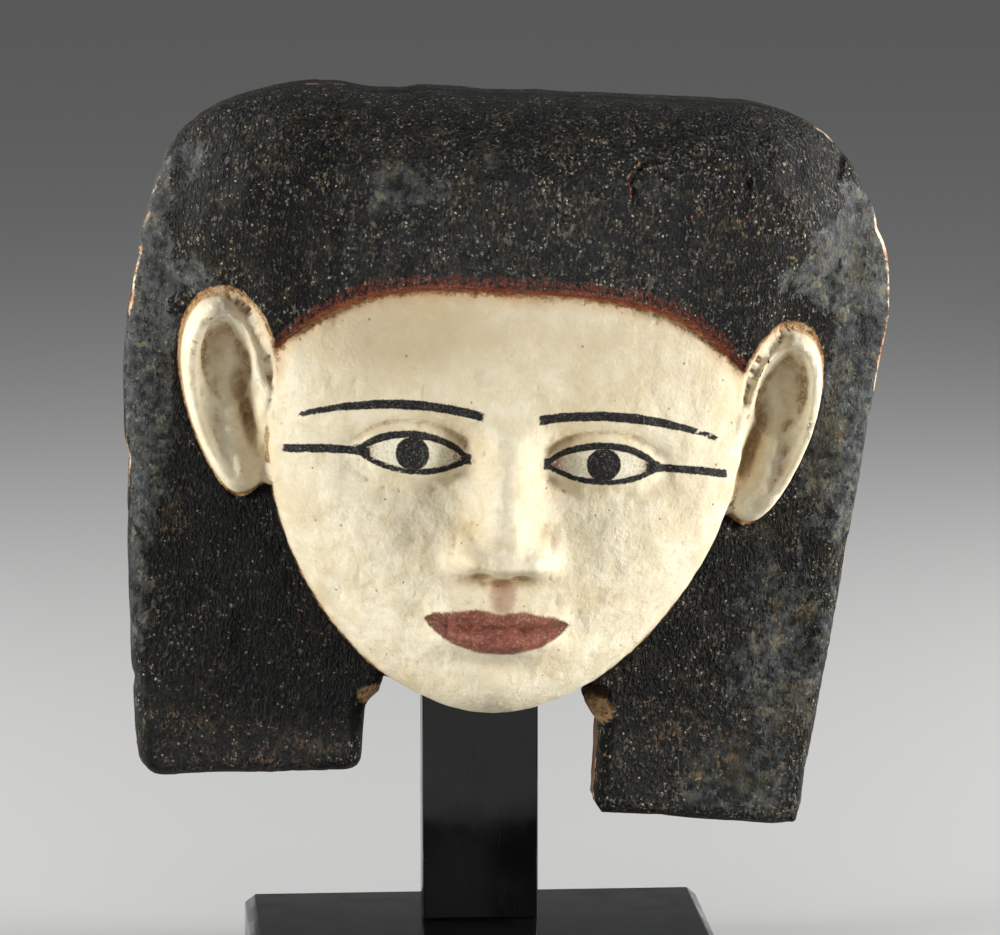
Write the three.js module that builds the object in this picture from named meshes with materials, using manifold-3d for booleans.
// A painted wooden mummy mask on its display stand: a carved face with a black wig whose two lappets hang
// beside the chin, hollowed behind, held against a flat post that stands on a bevelled foot.
// Millimetres, +Z up, the face looks along -Y, the origin is the centre of the foot's underside.
import * as THREE from "three";
import { mergeVertices } from "three/addons/utils/BufferGeometryUtils.js";
import Module from "manifold-3d";

const wasm = await Module();
wasm.setup();

// Driving dimensions of the stand
const foot = { width: 152.4, depth: 127, height: 19, bevel: 3.5, behindPost: 33.5 };
const post = { width: 38, thickness: 12.7, height: 268 };
const seatGap = 0.3; // left between pieces that touch

// How the mask hangs on the post: its midline's foot, measured from the foot's top, and its lean to one side
const hang = { side: -3.1, above: 43.9, leanDegrees: 4 };

// The wig's outline, u across and v up from where the midline meets the lappets' ends.
// Its two sides are carved unlike.
const wig = {
  left: {
    foot: 108.5,
    widest: 122.4,
    widestAt: 134,
    bow: 0.75,
    top: 230.6,
    crownFlat: 51,
    cornerPower: 3.15,
  },
  right: { foot: 106.4, widest: 123.2, widestAt: 166, bow: 1, top: 232.6, crownFlat: 72, cornerPower: 2.2 },
};
const lappet = {
  left: { innerFoot: 37.6, innerTop: 35, innerEnd: 8.2, outerEnd: 2, innerCorner: 5, outerCorner: 6.5 },
  right: { innerFoot: 40, innerTop: 40.5, innerEnd: -2, outerEnd: -2.5, innerCorner: 2, outerCorner: 3 },
  depth: 24,
  cornersEndAt: 14, // the outline's straight sides start above it
};
// How far the wig stands forward, and how it rolls back to its edge
const wigForm = {
  crownDepth: 58,
  sideFall: 11.5,
  sidePower: 3,
  rimDepth: 15,
  crownRoll: 27,
  lappetRoll: 6,
  rollFrom: 70,
  rollTo: 180,
  riseFrom: 96,
  riseTo: 166,
  behindEarFrom: 76, // across: from here out the wig swells only above the ears
  behindEarTo: 88,
  behindEarRiseFrom: 132,
  behindEarRiseTo: 188,
  crownFallFrom: 185,
  crownFall: 7,
};

// The face's oval and the hairline that crosses it
const face = {
  halfWidth: 77.5,
  chin: 30,
  cheekLevel: 124,
  jawPower: 1.75,
  jawDepth: 19,
  templeDepth: 33,
  middleDepth: 56,
  jawFrom: 62, // levels between which the jaw turns into the cheek and the temple
  cheekAt: 106,
  fullFrom: 124,
  fullness: { temple: 1.6, jaw: 1.35, chin: 3.3, chinHalfWidth: 27 },
  underWig: 5, // how far the face runs on under the wig
};
const hairline = { middle: 172, ends: 147, inFromEdge: 1.4, power: 3.6 };
// Thirds of the face from the brow down, and an eye's width, a fifth of the face's
const faceThird = 51.5;
const eyeWidth = (2 * face.halfWidth) / 5;
const noseBase = face.chin + faceThird;
const browLevel = noseBase + faceThird;
const mouthLevel = noseBase - faceThird / 3;
const eyeLevel = browLevel - 0.3 * faceThird;

// Soft mounds, and hollows where the rise is negative: their middle, half width, half height and rise
const eyeSocket = [
  { out: eyeWidth - 1, level: eyeLevel + 1, across: 20, up: 12, rise: -5.2 },
  { out: eyeWidth - 15, level: eyeLevel + 1, across: 7, up: 9, rise: -3.6 },
];
const eyeball = { across: 19, up: 11.5, rise: 5.6, power: 1.2 };
const browRidge = {
  rise: 2.4,
  halfHeight: 6.5,
  aboveBrow: 1,
  arch: 4.5,
  archWidth: 30,
  endsAt: 58,
  fades: 26,
};
const nose = {
  rootBelowBrow: 3,
  tipAboveBase: 7.5,
  rise: 19.5,
  risePower: 1.1,
  rootHalf: 7,
  tipHalf: 12,
  sidePower: 2.3,
  baseFrom: 3,
  baseHeight: 8,
};
const noseTip = noseBase + nose.tipAboveBase;
const noseMounds = [
  { out: 0, level: noseTip + 1, across: 7, up: 6, rise: 2.2 },
  { out: 0.36 * eyeWidth, level: noseTip - 1, across: 5.4, up: 6.2, rise: 8 },
];
const mouth = {
  half: 0.75 * eyeWidth,
  cornersUp: 1.2,
  upper: { above: 4, halfHeight: 3.3, rise: 3.4, power: 0.6 },
  lower: { below: 4.6, halfHeight: 4, rise: 4.2, power: 1 },
  parting: { halfHeight: 1.8, depth: 2.4, power: 0.5 },
};
const mouthMounds = [
  { out: 0, level: mouthLevel + 2, across: 26, up: 17, rise: 4.5 },
  { out: mouth.half + 1, level: mouthLevel + mouth.cornersUp, across: 4.5, up: 5, rise: -2 },
  { out: 0, level: mouthLevel - 13, across: 15, up: 4.2, rise: -2.4 },
  { out: 0, level: mouthLevel + 10, across: 2.6, up: 5, rise: -0.9 },
];
const faceMounds = [
  { out: 40, level: noseBase + 10, across: 19, up: 18, rise: 2.6 },
  { out: 0, level: face.chin + 10, across: 15, up: 9, rise: 6 },
  { out: 0, level: browLevel + 18, across: 40, up: 14, rise: 1.2 },
];
const foreheadFall = { above: 16, over: 24, depth: 2 };

// The ears stand high, their tops above the brows. An ear's own directions are across it and along it.
const ear = {
  left: { out: 10.5, halfWidth: 14.2 }, // out: its middle, beyond the face's edge
  right: { out: 8, halfWidth: 13.4 },
  level: (noseBase + browLevel) / 2 + 24,
  halfHeight: 32,
  topWider: 0.25,
  lobeWider: 0.55, // the lower part reaches in to the cheek
  leanDegrees: 9,
  plateDepth: 37,
  plateSlope: 0.12,
  edgeFrom: 0.86, // of the way out, where the plate turns back to the wig
  edgeTo: 1.06,
  innerEdgeFrom: 0.78, // and the same beside the temple
  innerOver: 6,
};
const earRim = {
  at: 0.83,
  innerAt: 0.68,
  half: 0.15,
  rise: 4,
  upperFrom: -12,
  upperOver: 14,
  outerShare: 0.5,
  outerOver: 6,
};
const earMounds = [
  { out: 0.5, level: 11, across: 7, up: 13, rise: -6 },
  { out: -4, level: -6, across: 4, up: 11, rise: -7 },
  { out: -10, level: -7, across: 4, up: 8, rise: 3 },
  { out: 0, level: -24, across: 8, up: 7, rise: 2 },
];
const earRoot = lappet.depth - 6; // inside the wig

// The gouged hollow behind, inside walls of the wood's own thickness
const wall = { side: 19, crown: 21, front: 20, belowChin: 27 };
const hollow = {
  halfWidth: Math.min(wig.left.foot, wig.right.foot) - wall.side,
  top: Math.min(wig.left.top, wig.right.top) - wall.crown,
  bottom: face.chin + wall.belowChin,
  depth: wigForm.crownDepth - wall.front,
  power: 2.6,
};

// Small shared formulas
const spaced = (from, to, count) =>
  Array.from({ length: count + 1 }, (_, i) => from + ((to - from) * i) / count);
const clamp = (x, low, high) => Math.min(high, Math.max(low, x));
const clamp01 = (x) => clamp(x, 0, 1);
const smooth = (x) => {
  const t = clamp01(x);
  return t * t * (3 - 2 * t);
};
const mix = (a, b, t) => a + (b - a) * t;
const bump = (x, size) => Math.exp(-((x / size) ** 2));
const mound = (du, dv, across, up) => Math.exp(-((du / across) ** 2) - (dv / up) ** 2);
const dome = (x) => Math.sqrt(Math.max(0, 1 - x * x));

// Half the wig's width at a height, on one side
function wigHalf(side, v) {
  if (v <= side.widestAt) return mix(side.foot, side.widest, (Math.max(0, v) / side.widestAt) ** side.bow);
  const rise = clamp01((v - side.widestAt) / (side.top - side.widestAt));
  const arc = (1 - rise ** side.cornerPower) ** (1 / side.cornerPower);
  return side.crownFlat + (side.widest - side.crownFlat) * arc;
}

// The oval's half width at a height, its lower edge across, and how far out a point lies, 1 at the edge
const jawDrop = (v) => Math.max(0, face.cheekLevel - v) / (face.cheekLevel - face.chin);
const ovalHalf = (v) => face.halfWidth * Math.sqrt(1 - clamp01(jawDrop(v)) ** face.jawPower);
const ovalShare = (u, v) => (u / face.halfWidth) ** 2 + jawDrop(v) ** face.jawPower;
function jawLevel(u, inset = 1) {
  const share = clamp01(1 - (u / (face.halfWidth * inset)) ** 2);
  return face.cheekLevel - (face.cheekLevel - face.chin) * inset * share ** (1 / face.jawPower);
}
const hairlineHalf = face.halfWidth - hairline.inFromEdge;
const hairlineAt = (u) => {
  const share = clamp01(Math.abs(u) / hairlineHalf) ** hairline.power;
  return mix(hairline.middle, hairline.ends, share);
};

const moundsAt = (mounds, out, level) =>
  mounds.reduce((sum, m) => sum + m.rise * mound(out - m.out, level - m.level, m.across, m.up), 0);

// The nose: a ridge from between the brows to the tip, wings beside it and a cut-back base
function noseDepth(u, v) {
  const top = browLevel - nose.rootBelowBrow;
  const down = clamp01((top - v) / (top - noseTip));
  const half = mix(nose.rootHalf, nose.tipHalf, down ** 2);
  const ridge = nose.rise * down ** nose.risePower * Math.exp(-((Math.abs(u) / half) ** nose.sidePower));
  const base = smooth((v - noseBase + nose.baseFrom) / nose.baseHeight);
  return (ridge + moundsAt(noseMounds, Math.abs(u), v)) * base;
}

function mouthDepth(u, v) {
  const { half, cornersUp, upper, lower, parting } = mouth;
  const share = clamp01(1 - (u / half) ** 2);
  const above = v - mouthLevel - cornersUp * (u / half) ** 2;
  const lips =
    upper.rise * share ** upper.power * bump(above - upper.above, upper.halfHeight) +
    lower.rise * share ** lower.power * bump(above + lower.below, lower.halfHeight) -
    parting.depth * share ** parting.power * bump(above, parting.halfHeight);
  return lips + moundsAt(mouthMounds, Math.abs(u), v);
}

function eyeDepth(u, v) {
  const out = Math.abs(u) - eyeWidth;
  const round = clamp01((out / eyeball.across) ** 2 + ((v - eyeLevel) / eyeball.up) ** 2);
  const arch = browLevel + browRidge.aboveBrow - browRidge.arch * (out / browRidge.archWidth) ** 2;
  const browEnd = smooth((browRidge.endsAt - Math.abs(u)) / browRidge.fades);
  const brow = browRidge.rise * bump(v - arch, browRidge.halfHeight) * browEnd;
  return eyeball.rise * (1 - round) ** eyeball.power + moundsAt(eyeSocket, Math.abs(u), v) + brow;
}

// How far forward the face stands at a point
function faceDepth(u, v) {
  const { temple, jaw, chin, chinHalfWidth } = face.fullness;
  const low = 1 - smooth((v - face.jawFrom) / (face.fullFrom - face.jawFrom));
  const fullness = mix(temple, mix(jaw, chin, bump(u, chinHalfWidth)), low);
  const shell = Math.sqrt(1 - clamp01(ovalShare(u, v)) ** fullness);
  const upFromJaw = (v - face.jawFrom) / (face.cheekAt - face.jawFrom);
  const edge = mix(face.jawDepth, face.templeDepth, smooth(upFromJaw));
  const fall = foreheadFall.depth * smooth((v - browLevel - foreheadFall.above) / foreheadFall.over);
  const features = eyeDepth(u, v) + noseDepth(u, v) + mouthDepth(u, v) + moundsAt(faceMounds, Math.abs(u), v);
  return edge + (face.middleDepth - edge + features - fall) * shell;
}

// One ear's own directions: across its shell, away from the cheek, and along it, towards its top
const earSide = (u) => (u < 0 ? ear.left : ear.right);
function earHalf(side, across, along) {
  const share = along / ear.halfHeight;
  const lobe = across < 0 ? ear.lobeWider * smooth(-share) : 0;
  return side.halfWidth * (1 + ear.topWider * share) * (1 + lobe);
}
function earPlace(u, v) {
  const lean = THREE.MathUtils.degToRad(ear.leanDegrees);
  const out = Math.abs(u) - face.halfWidth - earSide(u).out;
  const up = v - ear.level;
  const along = up * Math.cos(lean) + out * Math.sin(lean);
  const across = out * Math.cos(lean) - up * Math.sin(lean);
  const halfHere = earHalf(earSide(u), across, along);
  return { along, across, ring: Math.hypot(across / halfHere, along / ear.halfHeight) };
}
function earDepth(u, v) {
  const { along, across, ring } = earPlace(u, v);
  const inward = smooth(-across / ear.innerOver) * smooth(along / ear.innerOver);
  const upper = smooth((along - earRim.upperFrom) / earRim.upperOver);
  const outer = earRim.outerShare * smooth(across / earRim.outerOver);
  const crest = mix(earRim.at, earRim.innerAt, inward);
  const rim = earRim.rise * bump(ring - crest, earRim.half) * Math.max(upper, outer);
  const plate = ear.plateDepth + ear.plateSlope * across + moundsAt(earMounds, across, along);
  const edgeFrom = mix(ear.edgeFrom, ear.innerEdgeFrom, inward);
  return mix(earRoot, plate + rim, dome(clamp01((ring - edgeFrom) / (ear.edgeTo - edgeFrom))));
}

// The wig's whole outline, one closed run clockwise from the front, with the jaw between the lappets
function outlinePoints() {
  const points = [];
  const at = (u, v) => new THREE.Vector2(u, v);
  const corner = (point, from, to, radius) => {
    const a = point.clone().add(from.clone().sub(point).setLength(radius));
    const b = point.clone().add(to.clone().sub(point).setLength(radius));
    points.push(...new THREE.QuadraticBezierCurve(a, point, b).getPoints(4));
  };
  const sideSteps = 26;
  const sideOf = (side, sign) => {
    const run = [];
    for (let i = 0; i <= sideSteps; i++) {
      const v = side.top * Math.sin((i / sideSteps) * (Math.PI / 2));
      if (v > lappet.cornersEndAt) run.push(at(sign * wigHalf(side, v), v));
    }
    return run;
  };
  const [l, r] = [lappet.left, lappet.right];
  const leftOuter = at(-wigHalf(wig.left, l.outerEnd), l.outerEnd);
  const leftInner = at(-l.innerFoot, l.innerEnd);
  const rightOuter = at(wigHalf(wig.right, r.outerEnd), r.outerEnd);
  const rightInner = at(r.innerFoot, r.innerEnd);
  const [leftSide, rightSide] = [sideOf(wig.left, -1), sideOf(wig.right, 1)];
  const jaw = spaced(r.innerTop, -l.innerTop, 18).map((u) => at(u, jawLevel(u, 0.995)));
  corner(leftOuter, leftInner, leftSide[0], l.outerCorner);
  points.push(...leftSide, ...rightSide.toReversed());
  corner(rightOuter, rightSide[0], rightInner, r.outerCorner);
  corner(rightInner, rightOuter, jaw[0], r.innerCorner);
  points.push(...jaw);
  corner(leftInner, jaw.at(-1), leftOuter, l.innerCorner);
  return points;
}
const outline = outlinePoints();

// How far inside the outline a point lies, 0 outside it
function insideBy(u, v) {
  let least = Infinity;
  let inside = false;
  outline.forEach((a, i) => {
    const b = outline[(i + 1) % outline.length];
    const [du, dv] = [b.x - a.x, b.y - a.y];
    const along = clamp01(((u - a.x) * du + (v - a.y) * dv) / (du * du + dv * dv));
    least = Math.min(least, Math.hypot(u - a.x - along * du, v - a.y - along * dv));
    if (a.y > v !== b.y > v && u < (du * (v - a.y)) / dv + a.x) inside = !inside;
  });
  return inside ? least : 0;
}

// How far forward the wig stands at a point
const wigTop = Math.max(wig.left.top, wig.right.top);
function wigDepth(u, v) {
  const f = wigForm;
  const behindEar = smooth((Math.abs(u) - f.behindEarFrom) / (f.behindEarTo - f.behindEarFrom));
  const from = mix(f.riseFrom, f.behindEarRiseFrom, behindEar);
  const to = mix(f.riseTo, f.behindEarRiseTo, behindEar);
  const crownBack = f.crownFall * smooth((v - f.crownFallFrom) / (wigTop - f.crownFallFrom));
  const crown = f.crownDepth - f.sideFall * (Math.abs(u) / face.halfWidth) ** f.sidePower - crownBack;
  const full = mix(lappet.depth, Math.max(crown, lappet.depth), smooth((v - from) / (to - from)));
  const roll = mix(f.lappetRoll, f.crownRoll, smooth((v - f.rollFrom) / (f.rollTo - f.rollFrom)));
  return f.rimDepth + (full - f.rimDepth) * dome(1 - clamp01(insideBy(u, v) / roll));
}

function lappetEnd(u) {
  const [end, side] = u < 0 ? [lappet.left, wig.left] : [lappet.right, wig.right];
  const along = clamp01((Math.abs(u) - end.innerFoot) / (side.foot - end.innerFoot));
  return mix(end.innerEnd, end.outerEnd, along);
}

// A closed block whose front is a relief: rows of points, each [u, v, depth], over a flat back
function reliefBlock(rows, back) {
  const columns = rows[0].length;
  const position = [];
  rows.flat().forEach(([u, v, depth]) => position.push(u, -depth, v));
  const index = [];
  const at = (row, column) => row * columns + column;
  for (let row = 0; row < rows.length - 1; row++) {
    for (let column = 0; column < columns - 1; column++) {
      const [a, b] = [at(row, column), at(row, column + 1)];
      const [d, c] = [at(row + 1, column), at(row + 1, column + 1)];
      // The diagonals mirror about the middle, so that both halves facet alike
      if (column < columns / 2 - 0.5) index.push(a, b, d, b, c, d);
      else index.push(a, b, c, a, c, d);
    }
  }
  const rim = [];
  for (let column = 0; column < columns; column++) rim.push(at(0, column));
  for (let row = 1; row < rows.length; row++) rim.push(at(row, columns - 1));
  for (let column = columns - 2; column >= 0; column--) rim.push(at(rows.length - 1, column));
  for (let row = rows.length - 2; row > 0; row--) rim.push(at(row, 0));
  const firstBack = position.length / 3;
  rim.forEach((i) => position.push(position[3 * i], -back, position[3 * i + 2]));
  const centre = position.length / 3;
  const middle = new THREE.Vector2();
  rim.forEach((i) => middle.add(new THREE.Vector2(position[3 * i], position[3 * i + 2])));
  middle.divideScalar(rim.length);
  position.push(middle.x, -back, middle.y);
  rim.forEach((i, k) => {
    const next = (k + 1) % rim.length;
    index.push(rim[next], i, firstBack + k, rim[next], firstBack + k, firstBack + next);
    index.push(firstBack + next, firstBack + k, centre);
  });
  const geometry = new THREE.BufferGeometry();
  geometry.setAttribute("position", new THREE.BufferAttribute(new Float32Array(position), 3));
  return geometry.setIndex(index);
}

// Solids for cutting and joining
function solidOf(geometry) {
  const bare = geometry.clone();
  bare.deleteAttribute("normal");
  bare.deleteAttribute("uv");
  const merged = mergeVertices(bare, 1e-4);
  const mesh = new wasm.Mesh({
    numProp: 3,
    vertProperties: new Float32Array(merged.attributes.position.array),
    triVerts: new Uint32Array(merged.index.array),
  });
  return new wasm.Manifold(mesh);
}
function geometryOf(solid) {
  const mesh = solid.getMesh();
  const geometry = new THREE.BufferGeometry();
  geometry.setAttribute("position", new THREE.BufferAttribute(new Float32Array(mesh.vertProperties), 3));
  geometry.setIndex(new THREE.BufferAttribute(new Uint32Array(mesh.triVerts), 1));
  geometry.computeVertexNormals();
  return geometry;
}
// A shape drawn in u and v, drawn out from the back plane towards the front
function prism(points, from, to) {
  const shape = new THREE.Shape(points);
  const geometry = new THREE.ExtrudeGeometry(shape, { depth: to - from, bevelEnabled: false });
  geometry.translate(0, 0, from);
  return geometry.rotateX(Math.PI / 2);
}

const frontReach = 2 * face.middleDepth; // the cutting prisms end past the nose
const backReach = -0.1 * face.middleDepth; // the blocks start behind the mask's back, before they are trimmed

function wigBlock() {
  const over = 1.03;
  const shares = [0.2, 0.325, 0.345, 0.37, 0.41, 0.5, 0.62, 0.73, 0.81, 0.87, 0.915, 0.95, 0.975, 1];
  const across = [...shares.map((s) => -s).reverse(), 0, ...shares];
  const lowest = -4;
  const levels = [lowest, 0.3, 2, 4, 7, ...spaced(24, 166, 11), ...spaced(177, 204, 3)];
  levels.push(...[22, 17, 12, 8, 5, 2.5, 0.5].map((below) => wigTop - below), wigTop + 5);
  const rows = levels.map((level) =>
    across.map((s) => {
      const side = s < 0 ? wig.left : wig.right;
      const u = s * over * wigHalf(side, Math.min(level, side.top - 4));
      // The lowest rows follow the lappets' slanted ends
      const v = level + lappetEnd(u) * (1 - smooth((level - 7) / 60));
      return [u, v, wigDepth(u, Math.min(level === lowest ? lappetEnd(u) : v, wigTop))];
    }),
  );
  return solidOf(reliefBlock(rows, backReach));
}

function faceBlock() {
  const inner = [1.5, 4, 6.5, 9, 11.5, 14.5, 17.5, 21, 24.5, 28, 32, 36, 40].map((u) => u / face.halfWidth);
  const shares = [...inner, 0.6, 0.67, 0.74, 0.81, 0.87, 0.92, 0.96, 0.985, 1];
  const across = [...shares.map((s) => -s).reverse(), 0, ...shares];
  const lowest = face.chin + 0.12;
  const levels = [lowest, lowest + 0.7, ...spaced(face.chin + 2, face.chin + 20, 7)];
  levels.push(...spaced(face.chin + 22.5, browLevel, 33));
  levels.push(...spaced(browLevel + 5, hairline.middle + face.underWig, 7));
  const rows = levels.map((v) => across.map((s) => [s * ovalHalf(v), v, faceDepth(s * ovalHalf(v), v)]));
  return solidOf(reliefBlock(rows, backReach));
}

// The place in the wig that the face fills, bounded above by the hairline
function faceOpening() {
  const inset = 0.984;
  const lower = spaced(Math.PI, 0, 28).map((turn) => {
    const u = Math.cos(turn) * face.halfWidth * inset;
    return new THREE.Vector2(u, jawLevel(u, inset));
  });
  const upper = spaced(0, Math.PI, 28).map((turn) => {
    const u = Math.cos(turn) * hairlineHalf;
    return new THREE.Vector2(u, hairlineAt(u));
  });
  return solidOf(prism([...lower, ...upper], backReach * 2, frontReach));
}

function earBlock(sign) {
  const reach = 1.06;
  const lean = THREE.MathUtils.degToRad(ear.leanDegrees);
  const across = spaced(-reach, reach, 14).map((s) => sign * s);
  const rows = spaced(-Math.PI / 2, Math.PI / 2, 22).map((turn) => {
    const along = Math.sin(turn) * ear.halfHeight * reach;
    return across.map((s) => {
      const outward = s * earHalf(earSide(sign), s, along) * Math.max(0.06, Math.cos(turn));
      const out = outward * Math.cos(lean) + along * Math.sin(lean);
      const up = along * Math.cos(lean) - outward * Math.sin(lean);
      const u = sign * (face.halfWidth + earSide(sign).out + out);
      return [u, ear.level + up, earDepth(u, ear.level + up)];
    });
  });
  return solidOf(reliefBlock(rows, 2));
}

// Rings of the hollow, from its mouth at the back to its bottom
function hollowBlock() {
  const ringCount = 8;
  const around = 40;
  const halfHeight = (hollow.top - hollow.bottom) / 2;
  const level = (hollow.top + hollow.bottom) / 2;
  const squared = (c) => Math.sign(c) * Math.abs(c) ** (2 / hollow.power);
  const turns = spaced(0, 2 * Math.PI, around).slice(0, around);
  const pointAt = (t, size, depth) => {
    const out = hollow.halfWidth * size * squared(Math.cos(t));
    return [out, -depth, level + halfHeight * size * squared(Math.sin(t))];
  };
  const ringAt = (size, depth) => turns.flatMap((t) => pointAt(t, size, depth));
  const rings = [ringAt(1, backReach)];
  for (let k = 0; k < ringCount; k++) {
    const size = Math.cos((k / ringCount) * (Math.PI / 2));
    rings.push(ringAt(size ** 0.8, hollow.depth * Math.sqrt(1 - size ** hollow.power)));
  }
  const position = [...rings.flat(), 0, -backReach, level, 0, -hollow.depth, level];
  const mouth = rings.length * around;
  const last = (rings.length - 1) * around;
  const index = [];
  for (let i = 0; i < around; i++) {
    const next = (i + 1) % around;
    for (let low = 0; low < last; low += around) {
      index.push(low + i, low + next, low + around + i, low + next, low + around + next, low + around + i);
    }
    index.push(mouth, next, i, mouth + 1, last + i, last + next);
  }
  const geometry = new THREE.BufferGeometry();
  geometry.setAttribute("position", new THREE.BufferAttribute(new Float32Array(position), 3));
  return solidOf(geometry.setIndex(index));
}

function maskGeometry() {
  const carved = wigBlock().subtract(faceOpening()).add(faceBlock()).add(earBlock(-1)).add(earBlock(1));
  return geometryOf(carved.intersect(solidOf(prism(outline, 0, frontReach))).subtract(hollowBlock()));
}

// The foot: a slab with a bevel round its top
function footGeometry() {
  const [x, y] = [foot.width / 2, foot.depth / 2];
  const corners = (dx, dy, z) => [-dx, -dy, z, dx, -dy, z, dx, dy, z, -dx, dy, z];
  const b = foot.bevel;
  const sides = [...corners(x, y, 0), ...corners(x, y, foot.height - b)];
  const position = [...sides, ...corners(x - b, y - b, foot.height)];
  const index = [0, 2, 1, 0, 3, 2, 8, 9, 10, 8, 10, 11];
  for (const low of [0, 4]) {
    for (let i = 0; i < 4; i++) {
      const next = (i + 1) % 4;
      index.push(low + i, low + next, low + 4 + next, low + i, low + 4 + next, low + 4 + i);
    }
  }
  const geometry = new THREE.BufferGeometry();
  geometry.setAttribute("position", new THREE.BufferAttribute(new Float32Array(position), 3));
  return geometry.setIndex(index).toNonIndexed();
}

const matte = { name: "painted_wood", color: 0x2b2a27, roughness: 0.85 };
const paintedWood = new THREE.MeshStandardMaterial(matte);
const glossy = { name: "black_acrylic", color: 0x050506, roughness: 0.12 };
const blackAcrylic = new THREE.MeshStandardMaterial(glossy);

const object = new THREE.Group();
const backOfFoot = foot.depth / 2;
const postFront = backOfFoot - foot.behindPost - post.thickness;

const footMesh = new THREE.Mesh(footGeometry(), blackAcrylic);
footMesh.name = "stand_foot";
object.add(footMesh);

const postMesh = new THREE.Mesh(new THREE.BoxGeometry(post.width, post.thickness, post.height), blackAcrylic);
postMesh.name = "stand_post";
postMesh.position.set(0, postFront + post.thickness / 2, foot.height + seatGap + post.height / 2);
object.add(postMesh);

const maskMesh = new THREE.Mesh(maskGeometry(), paintedWood);
maskMesh.name = "mask";
const hanging = new THREE.Group();
hanging.position.set(hang.side, postFront - seatGap, foot.height + hang.above);
hanging.rotation.y = THREE.MathUtils.degToRad(hang.leanDegrees);
hanging.add(maskMesh);
object.add(hanging);

export default object;
